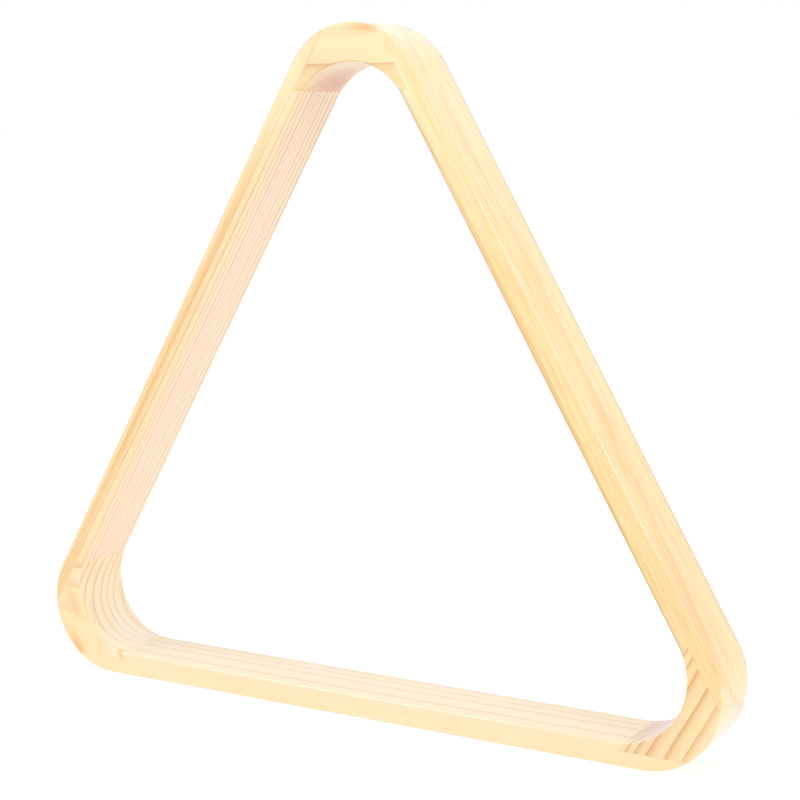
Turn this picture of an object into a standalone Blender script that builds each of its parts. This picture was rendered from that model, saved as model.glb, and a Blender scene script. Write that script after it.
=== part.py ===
"""Wooden triangle rack for fifteen pool balls, standing on its base rail.

Three straight pine rails are glued to three corner blocks. The frame is then routed to one
rounded triangle inside and another outside, and every arris is eased. Metres, +Z up. The
origin is on the floor, under the middle of the base rail. The front face looks along -Y.
"""

import math

import bmesh
import bpy
from mathutils import Matrix, Vector

# Driving dimensions
BALL_DIAMETER = 0.05715
BALLS_ON_A_SIDE = 5
RACKING_CLEARANCE = 0.0024
RAIL_THICKNESS = 0.0093
RAIL_DEPTH = 0.030
INNER_CORNER_RADIUS = 0.0277
OUTER_CORNER_RADIUS = 0.0310
ARRIS_RADIUS = 0.0005
REBATE_DEPTH = 0.0031
BLOCK_REACH = 0.0388
GLUE_GAP = 0.0003

# Tessellation
ARC_STEPS = 24
ARRIS_RESOLUTION = 2
WELD_DISTANCE = 0.00001
SMOOTH_ANGLE = math.radians(35)

# Stock that a cutter or a blank has beyond the finished surface
SPARE = 0.002
SPARE_INSIDE = 0.0008

# The balls' centres form a triangle of four diameters a side, and each side of the rack
# lies one radius outside it.
INNER_SIDE = (BALLS_ON_A_SIDE - 1 + math.sqrt(3)) * BALL_DIAMETER + RACKING_CLEARANCE
INNER_APOTHEM = INNER_SIDE / (2 * math.sqrt(3))
OUTER_APOTHEM = INNER_APOTHEM + RAIL_THICKNESS
OUTER_SIDE = OUTER_APOTHEM * 2 * math.sqrt(3)

CORNER_TURN = math.radians(120)
CORNER_ANGLES = [math.radians(90), math.radians(210), math.radians(330)]

PINE_ROUGHNESS = 0.55
PIECE_COLOURS = {
    "base_rail": (0.87, 0.72, 0.49, 1),
    "left_rail": (0.85, 0.66, 0.42, 1),
    "right_rail": (0.88, 0.70, 0.44, 1),
    "apex_corner_block": (0.90, 0.74, 0.48, 1),
    "left_corner_block": (0.88, 0.68, 0.43, 1),
    "right_corner_block": (0.86, 0.66, 0.40, 1),
}


def clear_scene():
    for obj in list(bpy.data.objects):
        bpy.data.objects.remove(obj, do_unlink=True)


def make_collection(name):
    collection = bpy.data.collections.new(name)
    bpy.context.scene.collection.children.link(collection)
    return collection


def rounded_triangle(apothem, radius):
    """Points of an equilateral triangle with round corners, centred on the origin, in the XY plane."""
    points = []
    centre_distance = 2 * (apothem - radius)
    for corner in CORNER_ANGLES:
        centre = Vector((math.cos(corner), math.sin(corner))) * centre_distance
        for step in range(ARC_STEPS + 1):
            angle = corner + CORNER_TURN * (step / ARC_STEPS - 0.5)
            points.append(centre + Vector((math.cos(angle), math.sin(angle))) * radius)
    return points


def evaluated_mesh(obj, name):
    """The object's mesh after its modifiers, with coincident points welded."""
    bpy.context.view_layer.update()
    graph = bpy.context.evaluated_depsgraph_get()
    mesh = bpy.data.meshes.new_from_object(obj.evaluated_get(graph))
    mesh.name = name
    shape = bmesh.new()
    shape.from_mesh(mesh)
    bmesh.ops.remove_doubles(shape, verts=shape.verts, dist=WELD_DISTANCE)
    shape.to_mesh(mesh)
    shape.free()
    return mesh


def make_helper(name, mesh, helpers):
    obj = bpy.data.objects.new(name, mesh)
    obj.hide_render = True
    obj.display_type = "WIRE"
    helpers.objects.link(obj)
    return obj


def make_routed_ring(helpers):
    """The glued frame's finished shape: both routed outlines and all four eased arrises."""
    curve = bpy.data.curves.new("routed_ring_outline", "CURVE")
    curve.dimensions = "2D"
    curve.fill_mode = "BOTH"
    curve.bevel_depth = ARRIS_RADIUS
    curve.bevel_resolution = ARRIS_RESOLUTION
    curve.offset = -ARRIS_RADIUS
    curve.extrude = RAIL_DEPTH / 2 - ARRIS_RADIUS
    outlines = [
        rounded_triangle(OUTER_APOTHEM, OUTER_CORNER_RADIUS),
        rounded_triangle(INNER_APOTHEM, INNER_CORNER_RADIUS),
    ]
    for outline in outlines:
        spline = curve.splines.new("POLY")
        spline.points.add(len(outline) - 1)
        for point, place in zip(spline.points, outline):
            point.co = (place.x, place.y, 0, 1)
        spline.use_cyclic_u = True
    flat = bpy.data.objects.new("routed_ring_curve", curve)
    flat.rotation_euler.x = math.radians(90)
    helpers.objects.link(flat)
    ring = make_helper("routed_ring", evaluated_mesh(flat, "routed_ring"), helpers)
    ring.matrix_world = flat.matrix_world
    bpy.data.objects.remove(flat, do_unlink=True)
    return ring


def make_board_blank(helpers):
    """The base rail's board, proud of the finished rail on every side."""
    bottom = -OUTER_APOTHEM - SPARE
    top = -INNER_APOTHEM + SPARE_INSIDE
    size = Vector((OUTER_SIDE, RAIL_DEPTH + 2 * SPARE, top - bottom))
    shape = bmesh.new()
    place = Matrix.Translation((0, 0, (top + bottom) / 2)) @ Matrix.Diagonal((*size, 1))
    bmesh.ops.create_cube(shape, size=1, matrix=place)
    mesh = bpy.data.meshes.new("board_blank")
    shape.to_mesh(mesh)
    shape.free()
    return make_helper("board_blank", mesh, helpers)


def make_block_blank(name, turn, gap, helpers):
    """A three-sided prism whose two upper faces lie in the rails' rebates.

    Its section is equilateral, so its base is square to the corner's bisector. turn is its
    rotation about Y from the apex corner, and gap moves each of its faces outwards.
    """
    apex = 2 * (INNER_APOTHEM + REBATE_DEPTH)
    base = 2 * INNER_APOTHEM - BLOCK_REACH
    circumradius = (apex - base) * 2 / 3
    centre = base + circumradius / 2
    shape = bmesh.new()
    bmesh.ops.create_cone(
        shape,
        cap_ends=True,
        segments=3,
        radius1=circumradius + 2 * gap,
        radius2=circumradius + 2 * gap,
        depth=RAIL_DEPTH + 2 * SPARE,
    )
    first = max(shape.verts, key=lambda vert: vert.co.y).co
    point_up = Matrix.Rotation(math.atan2(first.x, first.y), 4, "Z")
    stand_up = Matrix.Rotation(math.radians(90), 4, "X")
    place = Matrix.Rotation(turn, 4, "Y") @ Matrix.Translation((0, 0, centre)) @ stand_up @ point_up
    bmesh.ops.transform(shape, matrix=place, verts=shape.verts)
    mesh = bpy.data.meshes.new(name)
    shape.to_mesh(mesh)
    shape.free()
    return make_helper(name, mesh, helpers)


def add_boolean(obj, operation, other):
    modifier = obj.modifiers.new(f"{operation.lower()}_{other.name}", "BOOLEAN")
    modifier.operation = operation
    modifier.solver = "EXACT"
    modifier.object = other


def smooth(mesh):
    """Shades the routed corners and eased arrises smooth, and keeps the joint faces' edges sharp."""
    mesh.shade_smooth()
    mesh.set_sharp_from_angle(angle=SMOOTH_ANGLE)
    return mesh


def make_rail_mesh(ring, helpers):
    """A rail in the base rail's place: its blank, rebated for both blocks and routed."""
    blank = make_board_blank(helpers)
    for side, turn in (("left", -CORNER_TURN), ("right", CORNER_TURN)):
        cutter = make_block_blank(f"{side}_rebate_cutter", turn, GLUE_GAP, helpers)
        add_boolean(blank, "DIFFERENCE", cutter)
    add_boolean(blank, "INTERSECT", ring)
    return smooth(evaluated_mesh(blank, "rail"))


def make_block_mesh(ring, helpers):
    """A corner block in the apex corner's place."""
    blank = make_block_blank("block_blank", 0, 0, helpers)
    add_boolean(blank, "INTERSECT", ring)
    return smooth(evaluated_mesh(blank, "corner_block"))


def pine(name):
    material = bpy.data.materials.new(f"{name}_pine")
    material.use_nodes = True
    shader = material.node_tree.nodes["Principled BSDF"]
    shader.inputs["Base Color"].default_value = PIECE_COLOURS[name]
    shader.inputs["Roughness"].default_value = PINE_ROUGHNESS
    shader.inputs["Metallic"].default_value = 0
    return material


def place_piece(name, mesh, turn, centre, collection):
    """One of the three equal rails or blocks, turned about the rack's own centre."""
    piece = bpy.data.objects.new(name, mesh)
    piece.parent = centre
    piece.rotation_euler.y = turn
    collection.objects.link(piece)
    if not mesh.materials:
        mesh.materials.append(None)
    piece.material_slots[0].link = "OBJECT"
    piece.material_slots[0].material = pine(name)
    return piece


def build():
    clear_scene()
    rack = make_collection("triangle_rack")
    helpers = make_collection("cutters")
    ring = make_routed_ring(helpers)
    rail = make_rail_mesh(ring, helpers)
    block = make_block_mesh(ring, helpers)
    centre = bpy.data.objects.new("rack_centre", None)
    centre.location.z = OUTER_APOTHEM
    rack.objects.link(centre)
    pieces = (
        ("base_rail", rail, 0),
        ("left_rail", rail, CORNER_TURN),
        ("right_rail", rail, -CORNER_TURN),
        ("apex_corner_block", block, 0),
        ("left_corner_block", block, -CORNER_TURN),
        ("right_corner_block", block, CORNER_TURN),
    )
    for name, mesh, turn in pieces:
        place_piece(name, mesh, turn, centre, rack)


build()
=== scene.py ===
"""Looks for the wooden triangle rack: six pieces of sanded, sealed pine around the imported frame.

Every piece is rebuilt with finer corners and arrises and with hairline glue joints. Each vertex
keeps its place in its own board: x along the grain, y through the rack's depth, v outwards. The pine
is a solid texture in those board coordinates, so growth rings run on from face to face round each
piece.
"""

import math
from dataclasses import dataclass

import bmesh
import bpy
from mathutils import Matrix, Vector


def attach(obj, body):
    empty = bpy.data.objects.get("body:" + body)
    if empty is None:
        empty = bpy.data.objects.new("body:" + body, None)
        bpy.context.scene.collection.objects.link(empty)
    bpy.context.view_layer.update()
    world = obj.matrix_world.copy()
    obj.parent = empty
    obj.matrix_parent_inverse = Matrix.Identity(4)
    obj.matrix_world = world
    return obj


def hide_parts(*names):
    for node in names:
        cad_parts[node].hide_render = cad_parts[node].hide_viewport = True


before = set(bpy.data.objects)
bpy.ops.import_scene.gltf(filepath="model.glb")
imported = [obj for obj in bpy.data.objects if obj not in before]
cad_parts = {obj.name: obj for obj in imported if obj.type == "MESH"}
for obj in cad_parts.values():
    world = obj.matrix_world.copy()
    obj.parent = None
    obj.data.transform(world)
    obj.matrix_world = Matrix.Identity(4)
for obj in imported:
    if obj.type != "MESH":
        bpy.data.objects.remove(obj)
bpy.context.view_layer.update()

MM = 0.001

# The design's driving dimensions
BALL_DIAMETER = 0.05715
BALLS_ON_A_SIDE = 5
RACKING_CLEARANCE = 0.0024
RAIL_THICKNESS = 0.0093
RAIL_DEPTH = 0.030
INNER_CORNER_RADIUS = 0.0277
OUTER_CORNER_RADIUS = 0.0310
ARRIS_RADIUS = 0.0005
REBATE_DEPTH = 0.0031
BLOCK_REACH = 0.0388
INNER_SIDE = (BALLS_ON_A_SIDE - 1 + math.sqrt(3)) * BALL_DIAMETER + RACKING_CLEARANCE
INNER_APOTHEM = INNER_SIDE / (2 * math.sqrt(3))
OUTER_APOTHEM = INNER_APOTHEM + RAIL_THICKNESS
OUTER_SIDE = OUTER_APOTHEM * 2 * math.sqrt(3)
INNER_APEX = 2 * INNER_APOTHEM

CORNER_TURN = math.radians(120)
CORNER_ANGLES = [math.radians(90), math.radians(210), math.radians(330)]

# Finish of the geometry
GLUE_LINE = 0.00004
ARC_STEPS = 60
ARRIS_RESOLUTION = 3
WELD_DISTANCE = 0.000005
SMOOTH_ANGLE = math.radians(32)
SPARE = 0.002
SPARE_INSIDE = 0.0008

# Finish of the wood. Lengths here and in the looks below are in millimetres: along the grain,
# through the depth and outwards.
WANDER_WIDTH = 26
FRAY_LENGTHS = (9, 1.6, 1.6)
PATCH_LENGTHS = (45, 9, 9)
CLOUD_LENGTHS = (90, 11, 11)
STREAK_LENGTHS = (38, 1.5, 1.5)
FIBRE_LENGTHS = (22, 0.42, 0.42)
FLECK_LENGTHS = (3.6, 0.42, 0.42)
# The painted arris highlight comes in broken stretches about this long.
HIGHLIGHT_BREAK_LENGTHS = (14, 14, 14)
PATCH_CONTRAST = 0.25
STREAK_CONTRAST = 0.11
FIBRE_CONTRAST = 0.11
FIBRE_HUES = (0.3, 0.9, 2.2)
FLECK_CONTRAST = 0.32
SEALED_ROUGHNESS = 0.24
COAT_ROUGHNESS = 0.12
SEALER_IOR = 1.5
BUMP_STRENGTH = 0.12
BUMP_DISTANCE = 0.00005

# Arrises. The painted highlight on them is full up to FULL_HIGHLIGHT_END from a board's middle and
# fades out by HIGHLIGHT_END. A block's outside lies less than BLOCK_MIDDLE below the sharp inner
# corner, and a rail's inner face stops INNER_FACE_END from its middle.
# A pale colour painted on arrises as a highlight, and a brown painted on front arrises as shade and on the
# back's outer arrises as a dark line.
PAINTED_ARRIS_HIGHLIGHT = (0.98, 0.93, 0.78)
ARRIS_SHADE_AND_BACK_LINE = (0.62, 0.31, 0.09)
FULL_HIGHLIGHT_END = 55.0
HIGHLIGHT_END = 95.0
BLOCK_MIDDLE = 20.0
INNER_FACE_END = 121.0

# Stage
FLOOR_SIZE = 60.0
FLOOR_GAP = 0.0002
FLOOR_COLOUR = (0.26, 0.26, 0.26)
FLOOR_ROUGHNESS = 0.8
FLOOR_GLOW = 0.80
BACKDROP_STRENGTH = 1.0
ROOM_STRENGTH = 0.80
SIDE_FALL = 0.28
BRIGHT_SIDE = Vector((0.9, -0.35, 0.25))
KEY_LIGHT = {"place": (2.0, -0.75, 1.15), "size": 0.5, "power": 6}
TOP_LIGHT = {"place": (-0.9, -0.45, 1.7), "size": 0.8, "power": 10}
SENSOR_WIDTH = 36.0
LENS = 80.71
CAMERA_YAW = math.radians(29.85)
CAMERA_PITCH = math.radians(8.86)
CAMERA_ROLL = math.radians(-0.252)
CENTRE = Vector((0, 0, OUTER_APOTHEM))
CAMERA_PLACE = Vector((1.1292, -1.8949, 0.4237)) * INNER_SIDE + CENTRE


# ---------------------------------------------------------------- geometry


def rounded_triangle(apothem, radius):
    """Points of an equilateral triangle with round corners, centred on the origin, in the XY plane."""
    points = []
    centre_distance = 2 * (apothem - radius)
    for corner in CORNER_ANGLES:
        centre = Vector((math.cos(corner), math.sin(corner))) * centre_distance
        for step in range(ARC_STEPS + 1):
            angle = corner + CORNER_TURN * (step / ARC_STEPS - 0.5)
            points.append(centre + Vector((math.cos(angle), math.sin(angle))) * radius)
    return points


def evaluated_mesh(obj, name):
    """The object's mesh after its modifiers, with coincident points welded."""
    bpy.context.view_layer.update()
    graph = bpy.context.evaluated_depsgraph_get()
    mesh = bpy.data.meshes.new_from_object(obj.evaluated_get(graph))
    mesh.name = name
    shape = bmesh.new()
    shape.from_mesh(mesh)
    bmesh.ops.remove_doubles(shape, verts=shape.verts, dist=WELD_DISTANCE)
    shape.to_mesh(mesh)
    shape.free()
    return mesh


helpers = []


def make_helper(name, mesh):
    """A temporary object for cutting. clear_helpers removes it."""
    obj = bpy.data.objects.new(name, mesh)
    bpy.context.scene.collection.objects.link(obj)
    helpers.append(obj)
    return obj


def clear_helpers():
    while helpers:
        bpy.data.objects.remove(helpers.pop(), do_unlink=True)


def make_routed_ring():
    """The glued frame's finished shape: both routed outlines and all four eased arrises."""
    curve = bpy.data.curves.new("routed_ring_outline", "CURVE")
    curve.dimensions = "2D"
    curve.fill_mode = "BOTH"
    curve.bevel_depth = ARRIS_RADIUS
    curve.bevel_resolution = ARRIS_RESOLUTION
    curve.offset = -ARRIS_RADIUS
    curve.extrude = RAIL_DEPTH / 2 - ARRIS_RADIUS
    outlines = [
        rounded_triangle(OUTER_APOTHEM, OUTER_CORNER_RADIUS),
        rounded_triangle(INNER_APOTHEM, INNER_CORNER_RADIUS),
    ]
    for outline in outlines:
        spline = curve.splines.new("POLY")
        spline.points.add(len(outline) - 1)
        for point, place in zip(spline.points, outline):
            point.co = (place.x, place.y, 0, 1)
        spline.use_cyclic_u = True
    flat = make_helper("routed_ring_curve", curve)
    flat.rotation_euler.x = math.radians(90)
    ring = make_helper("routed_ring", evaluated_mesh(flat, "routed_ring"))
    ring.matrix_world = flat.matrix_world
    return ring


def make_board_blank():
    """The base rail's board, proud of the finished rail on every side."""
    bottom = -OUTER_APOTHEM - SPARE
    top = -INNER_APOTHEM + SPARE_INSIDE
    size = Vector((OUTER_SIDE, RAIL_DEPTH + 2 * SPARE, top - bottom))
    shape = bmesh.new()
    place = Matrix.Translation((0, 0, (top + bottom) / 2)) @ Matrix.Diagonal((*size, 1))
    bmesh.ops.create_cube(shape, size=1, matrix=place)
    mesh = bpy.data.meshes.new("board_blank")
    shape.to_mesh(mesh)
    shape.free()
    return make_helper("board_blank", mesh)


def make_block_blank(name, turn, gap):
    """A three-sided prism whose two upper faces lie in the rails' rebates, turned from the apex corner.

    Each face moves out by gap, because it lies half the circumradius from the middle.
    """
    apex = 2 * (INNER_APOTHEM + REBATE_DEPTH)
    base = INNER_APEX - BLOCK_REACH
    circumradius = (apex - base) * 2 / 3
    centre = base + circumradius / 2
    shape = bmesh.new()
    bmesh.ops.create_cone(
        shape,
        cap_ends=True,
        segments=3,
        radius1=circumradius + 2 * gap,
        radius2=circumradius + 2 * gap,
        depth=RAIL_DEPTH + 2 * SPARE,
    )
    first = max(shape.verts, key=lambda vert: vert.co.y).co
    point_up = Matrix.Rotation(math.atan2(first.x, first.y), 4, "Z")
    stand_up = Matrix.Rotation(math.radians(90), 4, "X")
    place = Matrix.Rotation(turn, 4, "Y") @ Matrix.Translation((0, 0, centre)) @ stand_up @ point_up
    bmesh.ops.transform(shape, matrix=place, verts=shape.verts)
    mesh = bpy.data.meshes.new(name)
    shape.to_mesh(mesh)
    shape.free()
    return make_helper(name, mesh)


def add_boolean(obj, operation, other):
    """Cuts obj with other, or keeps only what they share."""
    modifier = obj.modifiers.new(f"{operation.lower()}_{other.name}", "BOOLEAN")
    modifier.operation = operation
    modifier.solver = "EXACT"
    modifier.object = other


def make_rail_mesh(ring):
    """A rail in the base rail's place: its blank, rebated for both blocks and routed."""
    blank = make_board_blank()
    for turn in (-CORNER_TURN, CORNER_TURN):
        add_boolean(blank, "DIFFERENCE", make_block_blank("rebate_cutter", turn, GLUE_LINE))
    add_boolean(blank, "INTERSECT", ring)
    return evaluated_mesh(blank, "rail")


def make_block_mesh(ring):
    """A corner block in the apex corner's place."""
    blank = make_block_blank("block_blank", 0, 0)
    add_boolean(blank, "INTERSECT", ring)
    return evaluated_mesh(blank, "corner_block")


def mark_board(mesh, corner, look):
    """Board coordinates for the pine, and each arris's painted highlight: below 0, painted shade on the
    front and a dark line on the back.
    """
    mesh.attributes.new("grain", "FLOAT_VECTOR", "POINT")
    mesh.attributes.new("arris", "FLOAT", "POINT")
    grain = mesh.attributes["grain"].data
    arris = mesh.attributes["arris"].data
    arris_start = RAIL_DEPTH / 2 - 0.95 * ARRIS_RADIUS
    arris_end = RAIL_DEPTH / 2 - 0.02 * ARRIS_RADIUS
    rail_middle = RAIL_THICKNESS / MM / 2
    for index, vert in enumerate(mesh.vertices):
        x, y, z = vert.co / MM
        v = z - INNER_APEX / MM if corner else -INNER_APOTHEM / MM - z
        grain[index].vector = (x, y, v)
        if not arris_start < abs(vert.co.y) < arris_end:
            continue
        if corner:
            outside = v > -BLOCK_MIDDLE
        else:
            outside = v > rail_middle or abs(x) > INNER_FACE_END
        if y > 0:
            arris[index].value = -look.back_arris_line * outside
        else:
            arris[index].value = look.outer_arris_shading if outside else look.inner_arris_shading


def shade(obj):
    """Smooth corners and arrises, with flat faces that stay flat right up to them."""
    obj.data.shade_smooth()
    obj.data.set_sharp_from_angle(angle=SMOOTH_ANGLE)
    weighted = obj.modifiers.new("flat_faces", "WEIGHTED_NORMAL")
    weighted.keep_sharp = True


# ---------------------------------------------------------------- pine


@dataclass
class Pine:
    """One board's rings and colours, in board coordinates and millimetres.

    A ring's height at a point is across * v + through * y + slope * x + bow * (x - bow_middle)^2
    + cup * (y - cup_middle)^2, plus its swells, a wander and a fray. v runs outwards from a rail's
    inner face, or from the sharp inner corner of a block. rings lists where each ring of dark summer
    wood ends, in order, and how dark it is. A swell, a tint or a stain has a place (x, y, v), its
    lengths along those axes, and the height or the strength it adds. Tints colour the wood under the
    rings and stains_and_painted_shading colour it over them; some of both are painted shade, painted
    sheen and painted light, not the wood's own colour. The rings end over the length edge, and are
    darker by fade for each millimetre along the grain. Above 0, inner_arris_shading and
    outer_arris_shading say how strong a painted highlight the front arrises carry, and below 0 how
    much painted shade. back_arris_line says how dark a line the back's outer arrises carry. coat is
    the sealer's weight, and figure scales the contrast of the fibres.
    """

    rings: list
    across: float = 0.0
    through: float = 1.0
    slope: float = 0.0
    bow: float = 0.0
    bow_middle: float = 0.0
    cup: float = 0.0
    cup_middle: float = 0.0
    swells: tuple = ()
    tints: tuple = ()
    stains_and_painted_shading: tuple = ()
    # By default a faint painted highlight on the front arrises, and a dark line along the back's outer
    # arrises.
    inner_arris_shading: float = 0.1
    outer_arris_shading: float = 0.1
    back_arris_line: float = 0.3
    coat: float = 0.8
    wander: float = 0.5
    wander_length: float = 70.0
    fray: float = 0.10
    sharpness: float = 4.0
    edge: float = 0.25
    contrast: float = 0.6
    fade: float = 0.0
    spring: tuple = (0.94, 0.735, 0.43)
    blush: tuple = (0.92, 0.665, 0.335)
    summer: tuple = (0.66, 0.375, 0.155)
    seed: float = 0.0
    flecks: float = 0.5
    figure: float = 1.0


class Shader:
    """One material's node tree, with short calls for the sums that the pine is made of."""

    def __init__(self, name):
        self.material = bpy.data.materials.new(name)
        self.material.use_nodes = True
        self.tree = self.material.node_tree
        self.surface = self.tree.nodes["Principled BSDF"]

    def put(self, socket, value):
        if isinstance(value, bpy.types.NodeSocket):
            self.tree.links.new(value, socket)
        else:
            socket.default_value = value

    def attribute(self, name, output):
        node = self.tree.nodes.new("ShaderNodeAttribute")
        node.attribute_name = name
        return node.outputs[output]

    def math(self, operation, *values, clamp=False):
        node = self.tree.nodes.new("ShaderNodeMath")
        node.operation = operation
        node.use_clamp = clamp
        for socket, value in zip(node.inputs, values):
            self.put(socket, value)
        return node.outputs[0]

    def vector(self, operation, *values, output="Vector"):
        node = self.tree.nodes.new("ShaderNodeVectorMath")
        node.operation = operation
        for socket, value in zip(node.inputs, values):
            self.put(socket, value)
        return node.outputs[output]

    def total(self, *values):
        result = values[0]
        for value in values[1:]:
            result = self.math("ADD", result, value)
        return result

    def scaled(self, value, factor):
        return self.math("MULTIPLY", value, factor)

    def squared(self, value, middle):
        offset = self.math("SUBTRACT", value, middle)
        return self.math("MULTIPLY", offset, offset)

    def spot(self, point, centre, lengths):
        """1 at the centre, falling off as a bell curve with these lengths."""
        away = self.vector("SUBTRACT", point, centre)
        away = self.vector("DIVIDE", away, lengths)
        square = self.vector("DOT_PRODUCT", away, away, output="Value")
        return self.math("EXPONENT", self.scaled(square, -1.0))

    def ease(self, value, low, high):
        """0 below low and 1 above high, with a smooth rise between."""
        node = self.tree.nodes.new("ShaderNodeMapRange")
        node.interpolation_type = "SMOOTHSTEP"
        self.put(node.inputs["Value"], value)
        node.inputs["From Min"].default_value = low
        node.inputs["From Max"].default_value = high
        return node.outputs["Result"]

    def mix(self, factor, first, second):
        node = self.tree.nodes.new("ShaderNodeMix")
        node.data_type = "RGBA"
        self.put(node.inputs["Factor"], factor)
        for name, colour in (("A", first), ("B", second)):
            socket = [entry for entry in node.inputs if entry.name == name and entry.type == "RGBA"][0]
            self.put(socket, (*colour, 1) if isinstance(colour, tuple) else colour)
        return [entry for entry in node.outputs if entry.type == "RGBA"][0]

    def noise(self, point, lengths, seed, detail=2.0, roughness=0.5):
        """Noise from -1 to 1, whose features are about as long as lengths."""
        scale = [1 / length for length in lengths]
        place = self.vector("MULTIPLY_ADD", point, scale, (seed, 1.7 * seed, 2.3 * seed))
        node = self.tree.nodes.new("ShaderNodeTexNoise")
        node.inputs["Scale"].default_value = 1.0
        node.inputs["Detail"].default_value = detail
        node.inputs["Roughness"].default_value = roughness
        self.put(node.inputs["Vector"], place)
        return self.math("MULTIPLY_ADD", node.outputs["Fac"], 2.0, -1.0)

    def blotches(self, wood, point, patchy, spots):
        """The wood with soft spots of other colours mixed in."""
        uneven = self.math("MULTIPLY_ADD", patchy, 0.4, 0.9)
        for centre, lengths, strength, colour in spots:
            amount = self.scaled(self.spot(point, centre, lengths), strength)
            wood = self.mix(self.math("MULTIPLY", amount, uneven, clamp=True), wood, colour)
        return wood

    def core(self, height, rings, sharpness, edge):
        """The darkness along a core cut through the rings: each rises slowly and ends at once."""
        start = rings[0][0] - (rings[1][0] - rings[0][0])
        end = rings[-1][0] + 1.0
        stops = [(0.0, 0.0)]
        for position, darkness in rings:
            at = (position - start) / (end - start)
            fallen = at + edge / (end - start)
            stops += [(at, darkness ** (1 / sharpness)), (fallen, 0.0)]
        node = self.tree.nodes.new("ShaderNodeValToRGB")
        ramp = node.color_ramp
        for index, (at, value) in enumerate(stops):
            stop = ramp.elements[0] if index == 0 else ramp.elements.new(at)
            stop.position = at
            stop.color = (value, value, value, 1)
        ramp.elements.remove(ramp.elements[len(ramp.elements) - 1])
        place = self.math("DIVIDE", self.math("SUBTRACT", height, start), end - start, clamp=True)
        self.put(node.inputs["Fac"], place)
        return self.math("POWER", node.outputs["Color"], sharpness)


def ring_height(shader, point, axes, look):
    """The smooth field whose levels are the growth rings."""
    x, y, v = axes
    wander = shader.noise(point, (look.wander_length, WANDER_WIDTH, WANDER_WIDTH), look.seed, detail=1.5)
    fray = shader.noise(point, FRAY_LENGTHS, look.seed + 4, detail=3)
    height = shader.total(
        shader.scaled(v, look.across),
        shader.scaled(y, look.through),
        shader.scaled(x, look.slope),
        shader.scaled(shader.squared(x, look.bow_middle), look.bow),
        shader.scaled(shader.squared(y, look.cup_middle), look.cup),
        shader.scaled(wander, look.wander),
        shader.scaled(fray, look.fray),
    )
    for centre, lengths, rise in look.swells:
        height = shader.math("MULTIPLY_ADD", shader.spot(point, centre, lengths), rise, height)
    return height


def summer_wood(shader, point, axes, patchy, look):
    """How much dark summer wood there is at a point."""
    height = ring_height(shader, point, axes, look)
    rings = shader.core(height, look.rings, look.sharpness, look.edge)
    strength = shader.total(
        shader.scaled(patchy, PATCH_CONTRAST), shader.scaled(axes[0], look.fade), look.contrast
    )
    return shader.math("MULTIPLY", rings, strength, clamp=True)


def paint_arris_shading(shader, wood, point, x, patchy, look):
    """The wood with a painted highlight in broken stretches on arrises marked above 0, brown painted shade
    on front arrises and a dark line on back ones marked below 0, and the highlight's strength.
    """
    arris = shader.attribute("arris", "Fac")
    broken = shader.math("MULTIPLY_ADD", shader.noise(point, HIGHLIGHT_BREAK_LENGTHS, look.seed + 41), 1.2, 0.8)
    highlight_reach = shader.ease(shader.squared(x, 0), HIGHLIGHT_END**2, FULL_HIGHLIGHT_END**2)
    arris_highlight = shader.math("MULTIPLY", arris, shader.math("MULTIPLY", broken, highlight_reach), clamp=True)
    # A pale painted highlight on arrises marked above 0, fading towards a board's ends.
    wood = shader.mix(arris_highlight, wood, PAINTED_ARRIS_HIGHLIGHT)
    # Brown painted shade on front arrises marked below 0, and a dark line on the back's outer arrises.
    darkening_depth = shader.math("MULTIPLY_ADD", patchy, -0.5, -0.9)
    arris_darkening = shader.math("MULTIPLY", arris, darkening_depth, clamp=True)
    return shader.mix(arris_darkening, wood, ARRIS_SHADE_AND_BACK_LINE), arris_highlight


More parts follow.
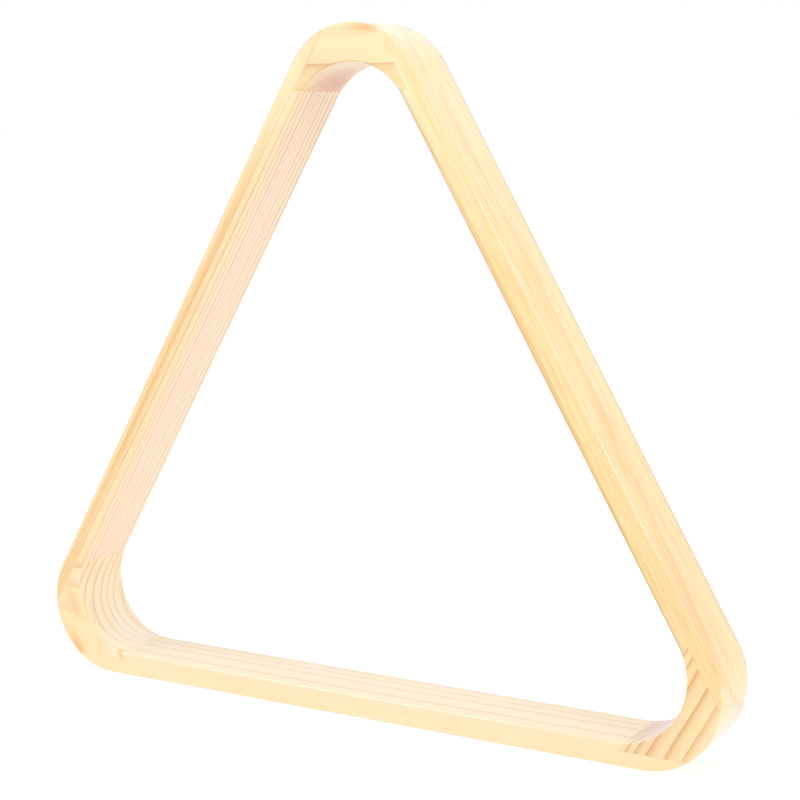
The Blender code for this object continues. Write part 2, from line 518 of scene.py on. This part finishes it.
def pine_material(name, look):
    """Sealed pine: growth rings, fibres, resin flecks, spots of colour and of painted shade, sheen and
    light, and arrises with painted highlights, painted shade and dark back lines.
    """
    shader = Shader(name)
    point = shader.attribute("grain", "Vector")
    split = shader.tree.nodes.new("ShaderNodeSeparateXYZ")
    shader.put(split.inputs[0], point)
    axes = list(split.outputs)

    patchy = shader.noise(point, PATCH_LENGTHS, look.seed + 9, detail=2)
    cloud = shader.noise(point, CLOUD_LENGTHS, look.seed + 13)
    fibre = shader.noise(point, FIBRE_LENGTHS, look.seed + 21, detail=3, roughness=0.6)
    streak = shader.noise(point, STREAK_LENGTHS, look.seed + 27, detail=3)
    flecks = shader.ease(shader.noise(point, FLECK_LENGTHS, look.seed + 33, detail=1), 0.30, 0.60)
    summer = summer_wood(shader, point, axes, patchy, look)

    blush = shader.ease(shader.total(cloud, streak), -0.5, 0.5)
    wood = shader.mix(blush, look.spring, look.blush)
    wood = shader.blotches(wood, point, patchy, look.tints)
    wood = shader.mix(summer, wood, look.summer)
    wood = shader.blotches(wood, point, patchy, look.stains_and_painted_shading)
    tone = shader.total(
        shader.scaled(fibre, FIBRE_CONTRAST * look.figure),
        shader.scaled(streak, STREAK_CONTRAST * look.figure),
    )
    wood = shader.vector("MULTIPLY", wood, shader.vector("MULTIPLY_ADD", tone, FIBRE_HUES, (1, 1, 1)))
    wood = shader.mix(shader.scaled(flecks, FLECK_CONTRAST * look.flecks), wood, look.summer)
    wood, arris_highlight = paint_arris_shading(shader, wood, point, axes[0], patchy, look)

    gloss = shader.total(
        shader.scaled(fibre, 0.04),
        shader.scaled(summer, -0.05),
        shader.scaled(arris_highlight, -0.05),
        SEALED_ROUGHNESS,
    )
    relief = shader.total(
        shader.scaled(fibre, 0.35), shader.scaled(summer, 0.6), shader.scaled(flecks, -0.8)
    )
    bump = shader.tree.nodes.new("ShaderNodeBump")
    bump.inputs["Strength"].default_value = BUMP_STRENGTH
    bump.inputs["Distance"].default_value = BUMP_DISTANCE
    shader.put(bump.inputs["Height"], relief)

    surface = shader.surface
    shader.put(surface.inputs["Base Color"], wood)
    shader.put(surface.inputs["Roughness"], gloss)
    shader.put(surface.inputs["Normal"], bump.outputs["Normal"])
    surface.inputs["IOR"].default_value = SEALER_IOR
    surface.inputs["Coat Weight"].default_value = look.coat
    surface.inputs["Coat Roughness"].default_value = COAT_ROUGHNESS
    return shader.material


# Colours of the tints and stains, some of them painted shade, painted sheen and painted light rather than
# the wood's own colour.
# Cream: a paler patch on the left rail's front, and painted light at the top of the right rail.
CREAM = (0.96, 0.83, 0.51)
STRAW = (0.94, 0.72, 0.38)
OLIVE = (0.90, 0.70, 0.30)
HONEY = (0.91, 0.63, 0.29)
OCHRE = (0.88, 0.62, 0.20)
AMBER = (0.91, 0.56, 0.21)
RUST = (0.90, 0.50, 0.22)
# Painted sheen and light: a pale pink.
PAINTED_LIGHT_ROSE = (0.98, 0.88, 0.77)
# Painted shade: a dull purple.
PAINTED_SHADE_MAUVE = (0.80, 0.60, 0.50)
# Painted shade: a dark purple.
PAINTED_SHADE_PLUM = (0.72, 0.41, 0.32)
# Painted shade: a dusky purple.
PAINTED_SHADE_LILAC = (0.66, 0.46, 0.47)
EMBER = (0.86, 0.46, 0.15)
# Painted sheen: a paler, pinker colour for a rail's inner face.
PAINTED_SHEEN_PALE = (0.92, 0.71, 0.54)
# Painted sheen: a paler, pinker colour for the base rail's inner face.
PAINTED_SHEEN_SHELL = (0.93, 0.755, 0.575)
WHEAT = (0.95, 0.77, 0.43)
BARK = (0.28, 0.13, 0.06)
# Umber: painted shade along the right rail's front inner arris, and dark lines along back edges.
UMBER = (0.50, 0.30, 0.14)

LOOKS = {
    "left_rail": Pine(
        rings=[
            (-19.6, 0.3), (-18.2, 1.0), (-17.1, 0.1), (-16.2, 1.0), (-13.0, 0.8),
            (-10.0, 0.65), (-6.6, 0.85), (-3.7, 0.6), (-1.0, 0.6), (1.0, 0.6),
            (4.1, 0.75), (6.9, 0.55), (10.2, 0.65), (13.5, 0.8), (16.4, 0.6),
        ],
        across=-0.6,
        slope=0.0092,
        wander=0.5,
        wander_length=110,
        sharpness=4.5,
        contrast=0.9,
        fade=-0.0014,
        summer=(0.50, 0.24, 0.08),
        tints=(
            # Painted sheen: the inner face paler and pinker all along.
            ((0, 2, 0), (400, 18, 3), 0.85, PAINTED_SHEEN_PALE),
            # Painted shade: a purple cast on the inner face towards the apex.
            ((-115, 2, 0), (38, 18, 4), 0.3, PAINTED_SHADE_MAUVE),
            ((18, -15, 6), (75, 6, 6), 0.35, HONEY),
        ),
        stains_and_painted_shading=(
            ((0, -15, 5.8), (400, 1.5, 1.2), 0.68, EMBER),
            ((60, -15, 9.2), (120, 1.5, 1.2), 0.6, STRAW),
            ((-130, -15, 7), (50, 4, 7), 0.85, CREAM),
            ((-49, 9.3, 0), (0.6, 0.35, 0.8), 0.8, BARK),
        ),
        # Painted shade along the front outer arris.
        outer_arris_shading=-0.6,
        seed=3.1,
        flecks=0.4,
    ),
    "right_rail": Pine(
        rings=[(2.5, 1.0), (5.6, 0.15), (8.1, 0.2), (10.4, 0.25), (14.2, 0.6), (18.6, 0.12), (21.4, 0.15)],
        across=1.0,
        through=0.0,
        bow=2.2 / 105**2,
        bow_middle=20,
        cup=1 / 70,
        cup_middle=-18,
        swells=(
            ((-43, -11, 9.3), (13, 12, 5), 1.3),
            ((15, -14, 9.3), (9, 5, 5), 0.9),
            ((47, -14, 9.3), (7, 5, 5), 0.9),
        ),
        tints=(
            ((-36, -9, 9.3), (8, 5, 6), 0.5, RUST),
            ((-96, -6, 9.3), (36, 9, 6), 0.6, AMBER),
            ((-104, -9, 9.3), (30, 4, 3), 0.7, RUST),
            ((72, -10, 9.3), (34, 3, 3), 0.7, OCHRE),
            ((30, -7, 9.3), (30, 2.5, 3), 0.6, OCHRE),
            ((-12, -5, 9.3), (34, 3, 3), 0.7, OCHRE),
            ((-75, 3, 9.3), (34, 3, 3), 0.5, AMBER),
            ((-40, -15, 3), (90, 8, 6), 0.4, HONEY),
            ((0, -1, 9.3), (150, 4, 3), 0.6, HONEY),
            ((-20, -9, 9.3), (110, 4, 3), 0.5, OLIVE),
            # Painted light: the top end of the rail paler.
            ((130, -4, 5), (55, 40, 12), 0.8, CREAM),
        ),
        stains_and_painted_shading=(
            # Painted shade: a dark line along the front inner arris.
            ((0, -15, 0), (400, 1.2, 1.0), 0.6, UMBER),
            ((0, 14.6, 9.3), (400, 0.8, 3), 0.8, UMBER),
        ),
        # Painted shade along the front inner arris, a painted highlight along the front outer arris, and a
        # dark line along the back's outer arrises.
        inner_arris_shading=-1.0,
        outer_arris_shading=0.5,
        back_arris_line=0.9,
        wander=0.8,
        wander_length=22,
        fray=0.3,
        sharpness=2.0,
        edge=0.7,
        contrast=0.9,
        fade=-0.0025,
        spring=(0.94, 0.75, 0.39),
        blush=(0.91, 0.65, 0.30),
        summer=(0.86, 0.51, 0.15),
        seed=7.7,
        flecks=1.6,
        figure=2.8,
    ),
    "base_rail": Pine(
        rings=[(-17.8, 0.3), (-7.4, 0.85), (1.8, 0.75), (8.0, 0.8), (13.4, 0.7), (18.5, 0.4)],
        across=0.03,
        bow=-0.00008,
        wander=0.4,
        wander_length=120,
        sharpness=7.0,
        edge=0.5,
        contrast=0.75,
        spring=(0.94, 0.765, 0.47),
        blush=(0.93, 0.71, 0.385),
        # Painted sheen: the inner face paler and pinker all along.
        tints=(((0, 2, 0), (400, 18, 3), 0.7, PAINTED_SHEEN_SHELL),),
        # A painted highlight along the front inner arris.
        inner_arris_shading=0.3,
        seed=11.3,
        flecks=0.35,
    ),
    "apex_corner_block": Pine(
        rings=[
            (-48.3, 0.4), (-42.4, 0.5), (-36.5, 0.6), (-30.7, 0.7), (-24.8, 0.12),
            (-18.7, 1.0), (-4.5, 0.25), (7.5, 0.5),
        ],
        across=1.0,
        through=-0.65,
        # The first tint is painted shade: a purple cast in the concave under the apex.
        tints=(((-20, 4, -36), (22, 18, 12), 1.0, PAINTED_SHADE_PLUM), ((0, -15, -37), (28, 4, 8), 0.7, AMBER)),
        stains_and_painted_shading=(
            ((7, -15, -14.5), (7, 5, 2.2), 0.9, RUST),
            ((12, 13.9, -15), (30, 1.1, 9), 0.9, UMBER),
        ),
        # Painted shade along the front inner arris.
        inner_arris_shading=-0.35,
        wander=0.5,
        wander_length=40,
        sharpness=3.0,
        contrast=0.8,
        back_arris_line=0.9,
        coat=0.15,
        spring=(0.95, 0.83, 0.52),
        blush=(0.95, 0.79, 0.45),
        summer=(0.76, 0.40, 0.16),
        seed=15.0,
        flecks=0.3,
    ),
    "left_corner_block": Pine(
        rings=[
            (-32.0, 0.8), (-27.1, 1.0), (-22.1, 1.0), (-15.7, 0.95), (-10.1, 0.9),
            (-5.7, 0.9), (-1.1, 0.8), (4.7, 0.8), (10.0, 0.7),
        ],
        across=0.25,
        bow=-0.0085,
        bow_middle=-9,
        # Painted sheen: the concave paler and pinker in its middle.
        tints=(((-9, 3, -33), (26, 17, 9), 1.0, PAINTED_LIGHT_ROSE),),
        stains_and_painted_shading=(
            ((-2, -15, -22), (22, 3, 12), 0.85, WHEAT),
            ((-10, -15, -16), (9, 4, 3), 0.8, EMBER),
            ((9, -15, -24), (7, 2, 3), 0.75, RUST),
            ((-21, -15, -36.5), (4, 3, 1), 0.8, EMBER),
        ),
        wander=0.6,
        wander_length=30,
        sharpness=4.0,
        edge=0.7,
        contrast=0.6,
        fade=0.016,
        summer=(0.74, 0.41, 0.18),
        seed=19.0,
        flecks=0.4,
    ),
    "right_corner_block": Pine(
        rings=[
            (-4.0, 0.5), (3.5, 0.6), (9.8, 0.7), (15.3, 0.8), (21.5, 1.0),
            (27.9, 1.0), (31.9, 1.0), (35.1, 1.0), (38.5, 0.9),
        ],
        across=-1.0,
        through=0.15,
        slope=0.02,
        stains_and_painted_shading=(
            # Painted light and reflection: the outer curve paler and pinker.
            ((0, 4, -14), (20, 16, 4), 0.45, PAINTED_LIGHT_ROSE),
            # Painted shade: a purple cast in the concave.
            ((14, 5, -33), (15, 15, 9), 1.0, PAINTED_SHADE_LILAC),
            ((0, 14.6, -16), (40, 0.6, 12), 0.5, UMBER),
        ),
        wander=0.9,
        wander_length=26,
        fray=0.3,
        sharpness=3.0,
        edge=0.4,
        contrast=1.0,
        back_arris_line=0.6,
        coat=0.3,
        spring=(0.95, 0.79, 0.46),
        summer=(0.76, 0.36, 0.10),
        seed=23.0,
        flecks=0.3,
    ),
}

TURNS = {
    "base_rail": 0,
    "left_rail": CORNER_TURN,
    "right_rail": -CORNER_TURN,
    "apex_corner_block": 0,
    "left_corner_block": -CORNER_TURN,
    "right_corner_block": CORNER_TURN,
}


def place_piece(node, mesh, corner):
    """One finished piece, turned about the rack's centre, in place of its CAD node."""
    piece = bpy.data.objects.new(f"{node}_pine", mesh.copy())
    bpy.context.scene.collection.objects.link(piece)
    look = LOOKS[node]
    mark_board(piece.data, corner, look)
    piece.data.transform(Matrix.Translation(CENTRE) @ Matrix.Rotation(TURNS[node], 4, "Y"))
    shade(piece)
    piece.data.materials.clear()
    piece.data.materials.append(pine_material(f"{node}_wood", look))
    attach(piece, "root")
    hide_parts(node)


ring = make_routed_ring()
rail_mesh = make_rail_mesh(ring)
block_mesh = make_block_mesh(ring)
clear_helpers()
for node in ("base_rail", "left_rail", "right_rail"):
    place_piece(node, rail_mesh, corner=False)
for node in ("apex_corner_block", "left_corner_block", "right_corner_block"):
    place_piece(node, block_mesh, corner=True)


# ---------------------------------------------------------------- stage, light and camera


def make_floor():
    """A plain pale floor, just below the rack."""
    shape = bmesh.new()
    bmesh.ops.create_grid(shape, x_segments=1, y_segments=1, size=FLOOR_SIZE / 2)
    mesh = bpy.data.meshes.new("floor")
    shape.to_mesh(mesh)
    shape.free()
    floor = bpy.data.objects.new("floor", mesh)
    bpy.context.scene.collection.objects.link(floor)
    floor.location.z = -FLOOR_GAP
    material = bpy.data.materials.new("floor_white")
    material.use_nodes = True
    surface = material.node_tree.nodes["Principled BSDF"]
    surface.inputs["Base Color"].default_value = (*FLOOR_COLOUR, 1)
    surface.inputs["Roughness"].default_value = FLOOR_ROUGHNESS
    surface.inputs["Specular IOR Level"].default_value = 0.0
    surface.inputs["Emission Color"].default_value = (1, 1, 1, 1)
    surface.inputs["Emission Strength"].default_value = FLOOR_GLOW
    mesh.materials.append(material)


def area_light(name, place, size, power):
    """A round soft light aimed at the rack."""
    data = bpy.data.lights.new(name, "AREA")
    data.shape = "DISK"
    data.size = size
    data.energy = power
    light = bpy.data.objects.new(name, data)
    light.location = place
    light.rotation_euler = (CENTRE - Vector(place)).to_track_quat("-Z", "Y").to_euler()
    bpy.context.scene.collection.objects.link(light)


def make_world():
    """A white backdrop. The light it casts falls off a little towards the left and the back."""
    world = bpy.data.worlds.new("white_studio")
    world.use_nodes = True
    nodes = world.node_tree.nodes
    links = world.node_tree.links
    background = nodes["Background"]
    background.inputs["Color"].default_value = (1, 1, 1, 1)
    direction = nodes.new("ShaderNodeTexCoord").outputs["Generated"]
    facing = nodes.new("ShaderNodeVectorMath")
    facing.operation = "DOT_PRODUCT"
    links.new(direction, facing.inputs[0])
    facing.inputs[1].default_value = BRIGHT_SIDE
    fall = nodes.new("ShaderNodeMath")
    fall.operation = "MULTIPLY_ADD"
    links.new(facing.outputs["Value"], fall.inputs[0])
    fall.inputs[1].default_value = SIDE_FALL
    fall.inputs[2].default_value = ROOM_STRENGTH
    strength = nodes.new("ShaderNodeMix")
    strength.data_type = "FLOAT"
    links.new(nodes.new("ShaderNodeLightPath").outputs["Is Diffuse Ray"], strength.inputs["Factor"])
    strength.inputs["A"].default_value = BACKDROP_STRENGTH
    links.new(fall.outputs[0], strength.inputs["B"])
    links.new(strength.outputs["Result"], background.inputs["Strength"])
    bpy.context.scene.world = world


def make_camera():
    """The camera, turned by its yaw from +Y, tipped down by its pitch and then rolled."""
    data = bpy.data.cameras.new("camera")
    data.sensor_width = SENSOR_WIDTH
    data.lens = LENS
    camera = bpy.data.objects.new("camera", data)
    bpy.context.scene.collection.objects.link(camera)
    aim = (
        Matrix.Rotation(CAMERA_YAW, 4, "Z")
        @ Matrix.Rotation(math.radians(90) - CAMERA_PITCH, 4, "X")
        @ Matrix.Rotation(CAMERA_ROLL, 4, "Z")
    )
    camera.matrix_world = Matrix.Translation(CAMERA_PLACE) @ aim
    bpy.context.scene.camera = camera


make_floor()
make_world()
area_light("key", **KEY_LIGHT)
area_light("top", **TOP_LIGHT)
make_camera()
bpy.context.scene.view_settings.view_transform = "Standard"
